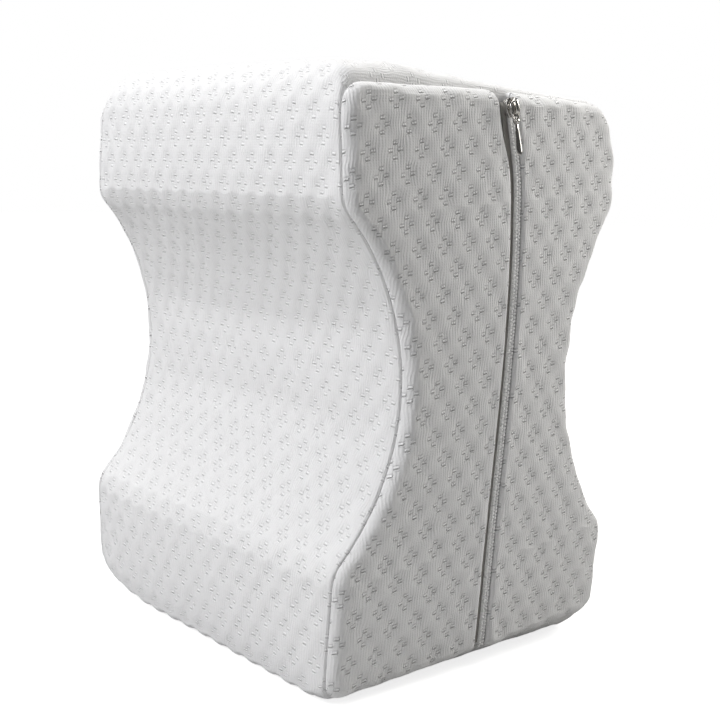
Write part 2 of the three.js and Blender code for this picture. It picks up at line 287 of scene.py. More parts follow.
def apply_modifiers(piece):
    """Replace the piece's mesh by what its modifiers make of it."""
    depsgraph = bpy.context.evaluated_depsgraph_get()
    shaped = bpy.data.meshes.new_from_object(piece.evaluated_get(depsgraph),
                                             preserve_all_data_layers=True, depsgraph=depsgraph)
    shaped.name = piece.data.name
    piece.modifiers.clear()
    piece.data = shaped
    return shaped


def read(items, name, shape):
    """One property of all the items, as an array of that shape."""
    flat = np.empty(math.prod(shape))
    items.foreach_get(name, flat)
    return flat.reshape(shape)


def points_of(mesh):
    return read(mesh.vertices, "co", (len(mesh.vertices), 3))


def put_points(mesh, points):
    mesh.vertices.foreach_set("co", points.ravel())
    mesh.update()


def cloth_places(mesh):
    """Each vertex's place on the flat cloth, from its UV map, in metres."""
    uv = read(mesh.uv_layers["cloth"].data, "uv", (len(mesh.loops), 2))
    corner = np.empty(len(mesh.loops), dtype=np.int64)
    mesh.loops.foreach_get("vertex_index", corner)
    places = np.zeros((len(mesh.vertices), 2))
    places[corner] = uv
    return places


def distance_from_seam(mesh):
    return read(mesh.attributes["from_seam"].data, "value", (len(mesh.vertices),))


# The pits' reach across and up in millimetres, and how their depth fades in from a seam. The
# puckers stand in a band beside the seams, and the soft waves are all over: the grain of their
# noise is in waves per metre
PIT_REACH = (4.0, 4.7)
PIT_FADE = 9.0
PUCKER = {"middle": 6, "reach": 5.0, "grain": 85}
SOFT_WAVE = {"share": 0.6, "grain": 22, "place": (3, 7, 1)}


def motif_share(places, knit):
    """How near each place is to the middle of a knitted motif: 1 there, 0 halfway between."""
    row = np.floor(places[:, 1] / knit.row_pitch)
    a = ((places[:, 0] / knit.motif_pitch + 0.5 * np.mod(row, 2)) % 1.0 - 0.5) * knit.motif_pitch
    b = ((places[:, 1] / knit.row_pitch) % 1.0 - 0.5) * knit.row_pitch
    return np.exp(-((a / (PIT_REACH[0] * MM)) ** 2 + (b / (PIT_REACH[1] * MM)) ** 2) ** 2)


def puff(mesh, knit, pit_depth, relief):
    """Draw the cloth in at each motif and pucker it beside the seams, along its own normals; its
    relief says how strongly the loops stand out, in their bumps and in their painted shade and
    highlight."""
    mesh.attributes.new("relief", "FLOAT", "POINT").data.foreach_set(
        "value", [relief] * len(mesh.vertices))
    places = cloth_places(mesh)
    from_seam = distance_from_seam(mesh)
    shown = np.clip(from_seam / PIT_FADE, 0, 1)
    shown = shown * shown * (3 - 2 * shown)
    depth = -pit_depth * motif_share(places, knit) * shown
    points = points_of(mesh)
    pucker = np.array([noise.noise(Vector(point) * PUCKER["grain"]) for point in points])
    aside = Vector(SOFT_WAVE["place"])
    soft = np.array([noise.noise(Vector(point) * SOFT_WAVE["grain"] + aside) for point in points])
    beside = np.exp(-((from_seam - PUCKER["middle"]) / PUCKER["reach"]) ** 2) * (from_seam > 0)
    depth += knit.pucker * (pucker * beside + SOFT_WAVE["share"] * soft * shown)
    normals = read(mesh.vertex_normals, "vector", points.shape)
    put_points(mesh, points + normals * depth[:, None])


def linear(colour):
    """An sRGB hex colour as linear RGBA."""
    channels = [int(colour[i:i + 2], 16) / 255 for i in (1, 3, 5)]
    return tuple(c / 12.92 if c <= 0.04045 else ((c + 0.055) / 1.055) ** 2.4
                 for c in channels) + (1.0,)


def add(tree, kind, inputs=(), **settings):
    """Add a shader node of a kind, and of an operation where that follows it. The inputs are in
    order or by name: each is a value, a socket or a node's first output."""
    kind, _, operation = kind.partition(" ")
    node = tree.nodes.new("ShaderNode" + kind)
    if operation:
        node.operation = operation
    for name, value in settings.items():
        setattr(node, name, value)
    for name, value in inputs.items() if isinstance(inputs, dict) else enumerate(inputs):
        if isinstance(value, bpy.types.Node):
            value = value.outputs[0]
        if isinstance(value, bpy.types.NodeSocket):
            tree.links.new(value, node.inputs[name])
        else:
            node.inputs[name].default_value = value
    return node


def new_material(name):
    material = bpy.data.materials.new(name)
    material.use_nodes = True
    material.node_tree.nodes.clear()
    return material, material.node_tree


def finish_material(tree, inputs):
    """The surface shader and the material's output."""
    shader = add(tree, "BsdfPrincipled", inputs)
    add(tree, "OutputMaterial", {"Surface": shader})


# The knit in millimetres: a motif's four loops stand one step across or up from its middle
LOOP_STEP = {"across": 2.4, "up": 2.75, "rise": -0.1}
LOOP_REACH = {"across": (1.2, 0.8), "up": (1.3, 0.9)}
LOOP_SIDE = (1.1, 0.32)
BACK_PITCH, WALE_PITCH, STITCH_PITCH = 1.2, 1.35, 1.0

# Up a loop lie a lip, its slot, its raised back and a thin slot: each one's middle and reach
LOOP_BANDS = {"lip": (-1.15, 0.32), "slot": (-0.68, 0.42), "back": (0.0, 0.62), "thin": (0.7, 0.36)}

# How high each part of the knit stands in millimetres, and how much painted shade it puts in the
# colour: a negative share is a painted highlight, and the plain share is the cloth's own tone
RIB_HEIGHT = 0.06
KNIT_HEIGHTS = {"stitch": 0.015, "fuzz": 0.16, "lip": 0.14, "slot": -0.18, "back": 0.26,
                "twin": -0.05, "thin": -0.08, "edge": -0.06}
RIB_SHADE, PLAIN_SHADE = -0.04, 0.24
KNIT_SHADES = {"slot": 0.3, "thin": 0.14, "fuzz": 0.05, "back": -0.26, "lip": -0.24, "twin": 0.05,
               "edge": 0.08}


def knit_material(name, knit):
    """White polyester jacquard knit over a thin padding: dull, softly puffed, ribbed by its wales,
    with small crosses of four raised white loops: painted shade darkens the slot under each loop
    and its sides, and a painted highlight whitens its back and lip."""
    material, tree = new_material(name)
    uv = add(tree, "UVMap", uv_map="cloth")
    mm = add(tree, "Mapping", {"Vector": uv, "Scale": (1000, 1000, 1)})
    fuzz = add(tree, "TexNoise", {"Vector": mm, "Scale": 0.9, "Detail": 4.0})
    sway = add(tree, "TexNoise", {"Vector": mm, "Scale": 0.12, "Detail": 1.0})
    xy = add(tree, "SeparateXYZ", {"Vector": mm})
    x, y = xy.outputs["X"], xy.outputs["Y"]
    # The relief scales the loops' bumps and also their painted shade and highlight
    relief = add(tree, "Attribute", attribute_name="relief").outputs["Fac"]

    def from_middle(cells, size):
        """Millimetres from the middle of the cell that a count of cells falls in."""
        share = add(tree, "Math FRACT", (cells,))
        return add(tree, "MapRange", {"Value": share, "To Min": -size / 2, "To Max": size / 2})

    def from_loop(value, step, shifted):
        """Millimetres from the nearest loop's middle, and how many steps out that loop is."""
        steps = add(tree, "Math DIVIDE", (value, step))
        steps = add(tree, "Math ROUND", (steps,))
        off = add(tree, "Math MULTIPLY_ADD", (steps, -step, shifted))
        return off, add(tree, "Math ABSOLUTE", (steps,))

    def near(value, middle, reach, full=0.05):
        """A soft band: 0 beyond its reach from the middle, 1 within its full part."""
        off = add(tree, "Math SUBTRACT", (value, middle))
        off = add(tree, "Math ABSOLUTE", (off,))
        return add(tree, "MapRange", {"Value": off, "From Min": reach, "From Max": full},
                   interpolation_type="SMOOTHSTEP")

    def wave(value, pitch, form):
        turns = add(tree, "Math MULTIPLY", (value, 2 * math.pi / pitch))
        return add(tree, "Math " + form, (turns,))

    # The staggered grid of motifs: a and b are millimetres from the nearest motif's middle
    pitch, row_pitch = knit.motif_pitch / MM, knit.row_pitch / MM
    rows = add(tree, "Math DIVIDE", (y, row_pitch))
    row = add(tree, "Math FLOOR", (rows,))
    odd = add(tree, "Math FLOORED_MODULO", (row, 2.0))
    columns = add(tree, "Math DIVIDE", (x, pitch))
    columns = add(tree, "Math MULTIPLY_ADD", (odd, 0.5, columns))
    a, b = from_middle(columns, pitch), from_middle(rows, row_pitch)

    # The right loop stands a little higher than the left one: p and q are millimetres from a
    # loop's middle
    risen = add(tree, "Math MULTIPLY_ADD", (a, LOOP_STEP["rise"], b))
    p, out_a = from_loop(a, LOOP_STEP["across"], a)
    q, out_b = from_loop(b, LOOP_STEP["up"], risen)
    out = add(tree, "Math ADD", (out_a, out_b))
    loop = add(tree, "Math COMPARE", (out, 1.0, 0.1))
    inside = near(p, 0.0, *LOOP_REACH["across"])
    inside = add(tree, "Math MULTIPLY", (inside, loop))
    inside = add(tree, "Math MULTIPLY", (inside, relief))
    parts = {"fuzz": fuzz}
    for band, (middle, reach) in LOOP_BANDS.items():
        parts[band] = add(tree, "Math MULTIPLY", (near(q, middle, reach), inside))
    # Its two sides are drawn in, which ties the four loops into one cross
    p_far = add(tree, "Math ABSOLUTE", (p,))
    tall = near(q, 0.0, *LOOP_REACH["up"])
    tall = add(tree, "Math MULTIPLY", (tall, relief))
    tall = add(tree, "Math MULTIPLY", (tall, loop))
    parts["edge"] = add(tree, "Math MULTIPLY", (near(p_far, *LOOP_SIDE), tall))
    # A loop is two wales wide, so its back is parted in two
    parts["twin"] = add(tree, "Math MULTIPLY", (wave(p, BACK_PITCH, "COSINE"), parts["back"]))

    # The wales and the stitches along them, stronger in some places than others
    bend = add(tree, "Math MULTIPLY_ADD", (sway, 3.0, x))
    wale = wave(bend, WALE_PITCH, "SINE")
    lean = add(tree, "Math MULTIPLY_ADD", (wale, 0.2, y))
    parts["stitch"] = wave(lean, STITCH_PITCH, "SINE")
    patchy = add(tree, "MapRange",
                 {"Value": sway, "From Min": 0.35, "From Max": 0.65, "To Min": 0.3, "To Max": 1.0})
    ribs = add(tree, "Math MULTIPLY", (wale, patchy))

    height = add(tree, "Math MULTIPLY", (ribs, RIB_HEIGHT))
    for part, scale in KNIT_HEIGHTS.items():
        height = add(tree, "Math MULTIPLY_ADD", (parts[part], scale, height))
    bump = add(tree, "Bump", {"Height": height, "Distance": MM, "Strength": 1.0})

    # The colour, with painted light: a painted highlight whitens the loops' backs and lips, and
    # painted shade darkens their slots, their sides, the parting of their backs and the grooves
    # between the ribs
    shade = add(tree, "Math MULTIPLY_ADD", (ribs, RIB_SHADE, PLAIN_SHADE))
    for part, scale in KNIT_SHADES.items():
        shade = add(tree, "Math MULTIPLY_ADD", (parts[part], scale, shade))
    colour = add(tree, "Mix", {"Factor": shade, "A": linear(knit.thread), "B": linear(knit.slot)},
                 data_type="RGBA")
    finish_material(tree, {"Base Color": colour.outputs["Result"], "Normal": bump,
                           "Roughness": 0.9, "Sheen Weight": 0.15, "Sheen Roughness": 0.5})
    return material


def tape_material(name, colour):
    """Woven polyester zip tape: flat and dull, with a fine twill across it, and a painted shade
    along its left edge under the left flap."""
    material, tree = new_material(name)
    place = add(tree, "TexCoord")
    mm = add(tree, "Mapping", {"Vector": place.outputs["Object"], "Scale": (1000, 1000, 1000)})
    twill = add(tree, "TexWave", {"Vector": mm, "Scale": 0.42, "Distortion": 0.6},
                wave_type="BANDS", bands_direction="DIAGONAL")
    ribs = add(tree, "TexWave", {"Vector": mm, "Scale": 0.5, "Distortion": 0.4},
               wave_type="BANDS", bands_direction="X")
    both = add(tree, "Math ADD", (twill, ribs))
    bump = add(tree, "Bump", {"Height": both, "Distance": 0.06 * MM, "Strength": 0.8})
    ramp = add(tree, "MapRange", {"Value": both, "From Max": 2.0, "To Max": 0.35})
    mix = add(tree, "Mix",
              {"Factor": ramp, "A": linear(colour), "B": linear("#b4b3b1")}, data_type="RGBA")
    # Painted shade: the tape darkens towards its left edge, where the left flap overhangs it
    across = add(tree, "Attribute", attribute_name="across")
    flap_shade = add(tree, "MapRange", {"Value": across.outputs["Fac"], "From Min": -0.6,
                                            "From Max": -1.3}, interpolation_type="SMOOTHSTEP")
    shaded = add(tree, "Mix", {"Factor": flap_shade, "A": mix.outputs["Result"],
                                         "B": linear("#a3a19c")}, data_type="RGBA")
    finish_material(tree, {"Base Color": shaded.outputs["Result"], "Normal": bump,
                           "Roughness": 0.85, "Sheen Weight": 0.1})
    return material


def coil_material(name, colour):
    """Nylon monofilament of the coil: pale, slightly see-through and satin, with a fine grain of
    greyer tone.
    """
    material, tree = new_material(name)
    place = add(tree, "TexCoord")
    grain = add(tree, "TexNoise",
                {"Vector": place.outputs["Object"], "Scale": 2400.0, "Detail": 3.0})
    worn = add(tree, "MapRange", {"Value": grain, "To Min": 0.0, "To Max": 0.3})
    mix = add(tree, "Mix",
              {"Factor": worn, "A": linear(colour), "B": linear("#c4c4c7")}, data_type="RGBA")
    bump = add(tree, "Bump", {"Height": grain, "Distance": 0.05 * MM, "Strength": 0.5})
    finish_material(tree, {"Base Color": mix.outputs["Result"], "Normal": bump,
                           "Roughness": 0.42, "Subsurface Weight": 0.15,
                           "Subsurface Radius": (0.001, 0.001, 0.001)})
    return material


def nickel_material(name, colour):
    """Nickel-plated die-cast zinc, polished: bright, with the slight waves of the casting and
    fine rubbing marks that blur its glints."""
    material, tree = new_material(name)
    place = add(tree, "TexCoord")
    waves = add(tree, "TexNoise",
                {"Vector": place.outputs["Object"], "Scale": 700.0, "Detail": 2.0})
    marks = add(tree, "TexNoise",
                {"Vector": place.outputs["Object"], "Scale": 4200.0, "Detail": 4.0})
    rough = add(tree, "MapRange", {"Value": marks, "To Min": 0.06, "To Max": 0.18})
    height = add(tree, "Math MULTIPLY_ADD", (marks, 0.12, waves))
    bump = add(tree, "Bump", {"Height": height, "Distance": 0.03 * MM, "Strength": 0.5})
    finish_material(tree, {"Base Color": linear(colour), "Metallic": 1.0, "Roughness": rough,
                           "Normal": bump})
    return material


def stage_material(name, colour, glow):
    """Matt white paper behind and under the cushion, glowing for the camera so that it stays white,
    with a painted shadow where the glow is lowered near the cushion.
    """
    material, tree = new_material(name)
    place = add(tree, "TexCoord")
    tooth = add(tree, "TexNoise", {"Vector": place.outputs["Object"], "Scale": 6.0})
    mix = add(tree, "Mix",
              {"Factor": tooth, "A": linear(colour), "B": linear("#c8c8c8")}, data_type="RGBA")
    # It shines a little less near the cushion, a painted shadow that adds to the faint real one
    # under its edges
    far = add(tree, "VectorMath LENGTH", (place.outputs["Object"],))
    rise = add(tree, "MapRange", {"Value": far.outputs["Value"], "From Min": 0.12,
                                            "From Max": 0.45, "To Min": glow, "To Max": 1.0})
    seen = add(tree, "LightPath")
    shine = add(tree, "Math MULTIPLY", (seen.outputs["Is Camera Ray"], rise))
    finish_material(tree, {"Base Color": mix.outputs["Result"], "Roughness": 0.9,
                           "Specular IOR Level": 0.1, "Emission Color": (1, 1, 1, 1),
                           "Emission Strength": shine})
    return material


def number(name, description, default):
    return bpy.props.FloatProperty(name=name, description=description, default=default)


def length(name, description, default):
    """A property for a length, with its default in millimetres."""
    return bpy.props.FloatProperty(name=name, description=description, default=default * MM,
                                   unit="LENGTH", precision=5)


def power(name, description, default):
    return bpy.props.FloatProperty(name=name, description=description, default=default,
                                   unit="POWER")


def tint(name, description, default):
    return bpy.props.StringProperty(name=name, description="sRGB colour of " + description,
                                    default=default)


class KnitSettings(bpy.types.PropertyGroup):
    motif_pitch: length("Motif pitch", "Distance between two motifs of one row", 13.05)
    row_pitch: length("Row pitch", "Height of one row of motifs", 9.25)
    pit_depth: length("Pit depth", "How deep the padding is drawn in at each motif", 0.7)
    panel_pit_depth: length(
        "Pit depth of the ends", "How deep the end panels are drawn in at each motif", 0.5)
    # The relief scales both the loops' bumps and their painted shade and highlight, more on the end
    # panels
    relief: number("Relief", "How strongly the loops of the wrap stand out", 0.82)
    panel_relief: number(
        "Relief of the ends", "How strongly the loops of the end panels stand out", 1.4)
    pucker: length("Pucker", "Height of the puckers beside the seams", 0.7)
    swell: length("Swell", "How far the padding may swell the wrap", 2.2)
    pressure: number("Pressure", "Pressure of the filling while it swells", 4.0)
    thread: tint("Thread colour", "the knit's loops", "#fdfdfd")
    # The slot colour is mixed into the thread: a little gives the cloth its own tone, more paints
    # shade in the slots, the loops' sides and the rib grooves
    slot: tint("Slot colour", "the slots of the motifs", "#989897")


class ZipSettings(bpy.types.PropertyGroup):
    coil_pitch: length("Coil pitch", "Distance between two turns of the coil", 1.5)
    tape: tint("Tape colour", "the tape", "#e6e6e8")
    coil: tint("Coil colour", "the coil", "#fcfcfb")
    metal: tint("Metal colour", "the slider and its pull", "#c9c7c3")


class StageSettings(bpy.types.PropertyGroup):
    floor: tint("Floor colour", "the floor", "#c2c2c2")
    # The glow is lowered near the cushion, which paints a faint shadow around it
    glow: number("Floor glow", "How much the white paper shines by itself near the cushion", 0.8)
    key: power("Key light", "Power of the soft light above the left side", 5.4)
    side: power("Side light", "Power of the lower light at the left", 2.2)
    far: power("Far light", "Power of the wide light behind the left side", 7.2)
    top: power("Top light", "Power of the wide light high above", 8.5)
    right: power("Right light", "Power of the light at the right", 2.8)
    near: power("Near light", "Power of the small light close to the right half", 2.4)
    back: power("Back light", "Power of the wide light behind", 2.6)
    sky: number("Room light", "Strength of the light from all around", 0.03)
    glint: number("Room in the metal", "How bright the room looks in the polished metal", 0.08)
    lens: number("Lens", "Focal length on a 36 mm wide sensor, in millimetres", 61.26)


# Each soft light: its property, its place, the size of its face in metres and its colour
LIGHTS = {
    "key": ((-0.75, 0.15, 0.95), (0.5, 0.5), "#fdfdff"),
    "side": ((-1.0, -0.15, 0.6), (0.7, 0.7), "#fdfdff"),
    "far": ((-1.2, 0.5, 1.2), (0.8, 0.8), "#fdfdff"),
    "top": ((0.1, 0.1, 1.5), (1.0, 1.0), "#fffefc"),
    "right": ((1.0, -0.3, 0.5), (0.5, 0.5), "#fffdf9"),
    "near": ((0.5, -0.3, 0.5), (0.3, 0.3), "#fffdf9"),
    "back": ((-0.1, 0.9, 0.9), (0.8, 0.8), "#fffefc"),
}
LIGHT_TARGET = (0, 0, 0.13)

# Half the floor's width in millimetres, and the camera: metres, and its sensor in millimetres
FLOOR_HALF = 6000
CAMERA = {"place": (-0.36523, -0.45141, 0.20449), "forward": (0.63429, 0.76021, -0.14058),
          "up": (0.06689, 0.12720, 0.98962), "sensor": 36, "near": 0.02}


def ring_places():
    """The places around the outline: up the left side, over the top, down the right, and back."""
    places = [(row, 0.0) for row in range(ROWS + 1)]
    places += [(ROWS, i / COLUMNS) for i in range(1, COLUMNS)]
    places += [(ROWS - row, 1.0) for row in range(ROWS + 1)]
    places += [(0, 1 - i / COLUMNS) for i in range(1, COLUMNS)]
    return places


# How far the columns of motifs lean on the wrap, and the skew of the motifs on the end panels
COLUMN_LEAN = 0.055
PANEL_SKEW = {"columns": 0.04, "rows": 0.085, "rows_apart": 1.027}

# The tuck behind each end panel: how far it is drawn in past the panel's thickness, and how far
# it stands beyond the seam
TUCK_IN = {"inset": 4.5, "gap": 0.4}

# The wrap starts this far inside the hourglass, which leaves room for its swelling
WRAP_SLACK = 0.6

# Distances from each seam at which the wrap is divided, then evenly to the middle
WRAP_STEPS = [0, 0.9, 2.2, 4.2, 7, 11, 16] + [22 + 6.5 * i for i in range(11)]
MIDDLE_RING = 60


def make_wrap(knit):
    """The wrap as one closed tube along Y, tucked in behind each end panel."""
    places = ring_places()
    count = len(places)
    middle = [wrap_point(row, share, 1, MIDDLE_RING) for row, share in places]
    outline = [Vector((point.x, point.z)) for point in middle]
    lengths = [0.0]
    for i in range(count):
        lengths.append(lengths[-1] + (outline[(i + 1) % count] - outline[i]).length)
    # A whole number of rows goes round, and the columns lean by a whole number of motifs
    repeat = 2 * knit.row_pitch / MM
    cloth = round(lengths[-1] / repeat) * repeat / lengths[-1]
    pitch = knit.motif_pitch / MM
    lean = round(COLUMN_LEAN * lengths[-1] / pitch) * pitch / lengths[-1]

    # Each ring: a label, its distance from the seam, its end and the distance that it stores
    rings = [("tuck", 0.0, 1, -1.0)]
    rings += [("wrap", step, 1, step) for step in WRAP_STEPS]
    rings += [("wrap", step, -1, step) for step in reversed(WRAP_STEPS)]
    rings += [("tuck", 0.0, -1, -1.0)]

    def ring_point(ring, index):
        label, step, end, _ = ring
        row, share = places[index]
        if label == "wrap":
            return wrap_point(row, share, end, step, WRAP_SLACK)
        x, z = across(row, share, SEAM_DEPTH + PANEL_THICKNESS + TUCK_IN["inset"])
        return Vector((x, end * (seam_y(z) + TUCK_IN["gap"]), z))

    # Laid out flat, the cloth runs from the middle to each seam by its true length: the flat
    # place of each ring and index
    half = len(rings) // 2
    flat = {}
    for order, toward in ((range(half - 1, -1, -1), 1), (range(half, 2 * half), -1)):
        for index in range(count):
            points = [ring_point(rings[n], index) for n in order]
            run = points[0].y
            for n, point, before in zip(order, points, points[:1] + points):
                run += toward * (point - before).length
                flat[n, index] = run

    bm = bmesh.new()
    place = bm.verts.layers.int.new("place")
    step_number = bm.verts.layers.int.new("step")
    from_seam = bm.verts.layers.float.new("from_seam")
    verts = []
    for index in range(count):
        vert = bm.verts.new(ring_point(rings[0], index))
        vert[place] = index
        vert[from_seam] = rings[0][3]
        verts.append(vert)
    edges = [bm.edges.new((verts[i], verts[(i + 1) % count])) for i in range(count)]
    first_edges = list(edges)
    for number, ring in enumerate(rings[1:], start=1):
        fresh, edges = extrude_rim(bm, edges)
        for vert in fresh:
            vert.co = ring_point(ring, vert[place])
            vert[step_number] = number
            vert[from_seam] = ring[3]
    for rim in (first_edges, edges):
        bmesh.ops.triangle_fill(bm, use_beauty=True, edges=rim)
    bmesh.ops.recalc_face_normals(bm, faces=bm.faces)

    uv = bm.loops.layers.uv.new("cloth")
    for face in bm.faces:
        closing = any(loop.vert[place] == count - 1 for loop in face.loops)
        for loop in face.loops:
            index = loop.vert[place]
            along = lengths[count] if closing and index == 0 else lengths[index]
            u = flat[loop.vert[step_number], index]
            loop[uv].uv = ((u + lean * along) * MM, along * cloth * MM)
    return bm


# The cloth is held near the seams, fading over some millimetres, and close to the floor
HELD = {"full": 4, "fade": 12, "floor": 2.5}
CLOTH_FRAMES = 20
FLOOR_LIFT = 0.3


def swell(piece, knit):
    """Blow the wrap up with Cloth, hold it at the seams and the floor, and cap how far it moves."""
    mesh = piece.data
    rest = points_of(mesh)
    from_seam = distance_from_seam(mesh)
    held = piece.vertex_groups.new(name="held")
    hold = np.clip(1 - (from_seam - HELD["full"]) / HELD["fade"], 0, 1)
    hold = np.maximum(hold, rest[:, 2] < HELD["floor"] * MM)
    for index, weight in enumerate(hold):
        if weight > 0:
            held.add([index], float(weight), "REPLACE")
    cloth = piece.modifiers.new("Cloth", "CLOTH")
    cloth.settings.quality = 5
    cloth.settings.vertex_group_mass = "held"
    cloth.settings.use_pressure = True
    cloth.settings.uniform_pressure_force = knit.pressure
    cloth.settings.effector_weights.gravity = 0
    cloth.collision_settings.use_self_collision = False
    cloth.collision_settings.use_collision = False
    cloth.point_cache.frame_start = 1
    cloth.point_cache.frame_end = CLOTH_FRAMES
    scene = bpy.context.scene
    for step in range(1, CLOTH_FRAMES + 1):
        scene.frame_set(step)
    blown = points_of(piece.evaluated_get(bpy.context.evaluated_depsgraph_get()).data)
    piece.modifiers.remove(cloth)
    piece.vertex_groups.remove(held)
    scene.frame_set(1)
    move = blown - rest
    far = np.linalg.norm(move, axis=1, keepdims=True)
    move *= knit.swell / np.maximum(far + knit.swell, 1e-9)
    points = rest + move
    points[:, 2] = np.maximum(points[:, 2], np.minimum(rest[:, 2], FLOOR_LIFT * MM))
    put_points(mesh, points)


def smooth_twice(piece):
    finer = piece.modifiers.new("Finer", "SUBSURF")
    finer.levels = finer.render_levels = 2
    apply_modifiers(piece)


def rest_on_floor(mesh):
    points = points_of(mesh)
    points[:, 2] = np.maximum(points[:, 2], 0)
    put_points(mesh, points)


class CUSHION_OT_wrap(bpy.types.Operator):
    """Build the filled wrap: the cushion's long sides, its top and its underside."""
    bl_idname = "cushion.wrap"
    bl_label = "Wrap"

    def execute(self, context):
        knit = context.scene.cushion_knit
        cloth = knit_material("white_jacquard_knit", knit)
        piece = new_piece(make_wrap(knit), "cushion_wrap", cloth)
        swell(piece, knit)
        smooth_twice(piece)
        puff(piece.data, knit, knit.pit_depth, knit.relief)
        rest_on_floor(piece.data)
        place_on(piece, "cushion_body")
        return {"FINISHED"}


# The turns of the roll's rings, the columns of a half panel and how much closer they stand
# beside the zip
ROLL_TURNS = [0.8, 0.6, 0.4, 0.2, 0.0]
HALF_COLUMNS, ZIP_CLOSER = 14, 0.35

# The distances from the seam that the face and the roll's inner edge store, and how much faster
# the distance grows beside the zip
FROM_SEAM = {"face": 25.0, "roll": 11.0, "zip": 1.6}


def make_panel(end, side):
    """An end panel, or one half of it beside the zip, as a closed double skin."""
    columns = COLUMNS if side is None else HALF_COLUMNS
    bm = bmesh.new()
    bmesh.ops.create_grid(bm, x_segments=columns, y_segments=ROWS, size=1)
    column = bm.verts.layers.int.new("column")
    row = bm.verts.layers.int.new("row")
    turned = bm.verts.layers.float.new("turned")
    from_seam = bm.verts.layers.float.new("from_seam")
    for vert in bm.verts:
        vert[column] = round((vert.co.x + 1) / 2 * columns)
        vert[row] = round((vert.co.y + 1) / 2 * ROWS)
        vert[turned] = 1.0

    def share_of(vert, turn, below):
        """The share of the width: a half panel stops at its edge beside the zip."""
        along = vert[column] / columns
        if side is None:
            return along
        left = panel_point(vert[row], 0.0, end, turn, below)
        right = panel_point(vert[row], 1.0, end, turn, below)
        z = lerp(left.z, right.z, 0.5)
        stop = (slot_x(z, side) - left.x) / (right.x - left.x)
        # Closer columns beside the zip keep the rolled edge small
        if side < 0:
            return stop * (along + ZIP_CLOSER * along * (1 - along))
        along = 1 - along
        return 1 - (1 - stop) * (along + ZIP_CLOSER * along * (1 - along))

    def at_zip(vert):
        return side is not None and vert[column] == (columns if side < 0 else 0)

    def place(vert, below):
        share = share_of(vert, vert[turned], below)
        return panel_point(vert[row], share, end, vert[turned], below)

    edges = [edge for edge in bm.edges if edge.is_boundary
             and not all(at_zip(vert) for vert in edge.verts)]
    for turn in ROLL_TURNS:
        fresh, edges = extrude_rim(bm, edges)
        for vert in fresh:
            vert[turned] = turn

    # The back skin, then the wall between the two skins
    outer = list(bm.verts)
    copy = bmesh.ops.duplicate(bm, geom=bm.verts[:] + bm.edges[:] + bm.faces[:])
    inner = [item for item in copy["geom"] if isinstance(item, bmesh.types.BMVert)]
    for vert in outer:
        vert.co = place(vert, 0.0)
        to_rim = FROM_SEAM["face"] if vert[turned] == 1.0 else FROM_SEAM["roll"] * vert[turned]
        if side is not None:
            to_zip = abs(vert.co.x - slot_x(vert.co.z, side))
            to_rim = min(to_rim, to_zip * FROM_SEAM["zip"])
        vert[from_seam] = to_rim
    for vert in inner:
        vert.co = place(vert, PANEL_THICKNESS)
        vert[from_seam] = 0.0
    rims = [edge for edge in bm.edges if edge.is_boundary]
    bmesh.ops.bridge_loops(bm, edges=rims)
    bmesh.ops.recalc_face_normals(bm, faces=bm.faces)

    # The cloth's own place: the face as it lies, and the roll laid out flat beyond its edge
    uv = bm.loops.layers.uv.new("cloth")
    reach = (FACE_EDGE_DEPTH + ROLL_REACH) / 2 * math.pi / 2
    for face in bm.faces:
        for loop in face.loops:
            vert = loop.vert
            share = share_of(vert, 1.0, 0.0)
            flat = panel_point(vert[row], share, end, 1.0, 0.0)
            at_side = vert[column] in (0, columns) and not at_zip(vert)
            past = (1 - vert[turned]) * reach if at_side or vert[row] in (0, ROWS) else 0.0
            nx, nz = outward(vert[row], round(share) if at_side else 0.5)
            u, v = (flat.x + nx * past) * -end, flat.z + nz * past
            skewed_u = u - PANEL_SKEW["columns"] * v
            skewed_v = (v - PANEL_SKEW["rows"] * u) / PANEL_SKEW["rows_apart"]
            loop[uv].uv = (skewed_u * MM, skewed_v * MM)
    return bm


# Each end panel: its name, its end, its side of the zip, its node and its flat size
END_PANELS = (("end_panel_back", 1, None, "back_panel", (0.172, 0.256)),
              ("end_panel_left", -1, -1, "front_panel_left", (0.086, 0.256)),
              ("end_panel_right", -1, 1, "front_panel_right", (0.079, 0.256)))


class CUSHION_OT_panels(bpy.types.Operator):
    """Build the end panels: a whole one at the back and two halves beside the zip."""
    bl_idname = "cushion.panels"
    bl_label = "End panels"

    def execute(self, context):
        knit = context.scene.cushion_knit
        cloth = bpy.data.materials["white_jacquard_knit"]
        for name, end, side, node, flat in END_PANELS:
            piece = new_piece(make_panel(end, side), name, cloth)
            smooth_twice(piece)
            puff(piece.data, knit, knit.panel_pit_depth, knit.panel_relief)
            place_on(piece, node)
        return {"FINISHED"}


# The tape and the coil's core: how far they lie below the panels' skin, and their thickness
TAPE = {"gap": 0.3, "below": PANEL_THICKNESS - 0.05, "thickness": 0.7, "columns": 16}
COIL = {"left": -1.1, "right": 2.1, "below": 2.3, "thickness": 0.7, "columns": 4}
# The coil's turns: two columns apart from a middle line, each turn a leaning bead
TURN = {"middle": 0.45, "apart": 0.82, "below": 1.45, "lean": 0.16, "size": (0.84, 0.62, 0.76)}
STRIP_ROW, TURNS_START = 2.5, 0.8


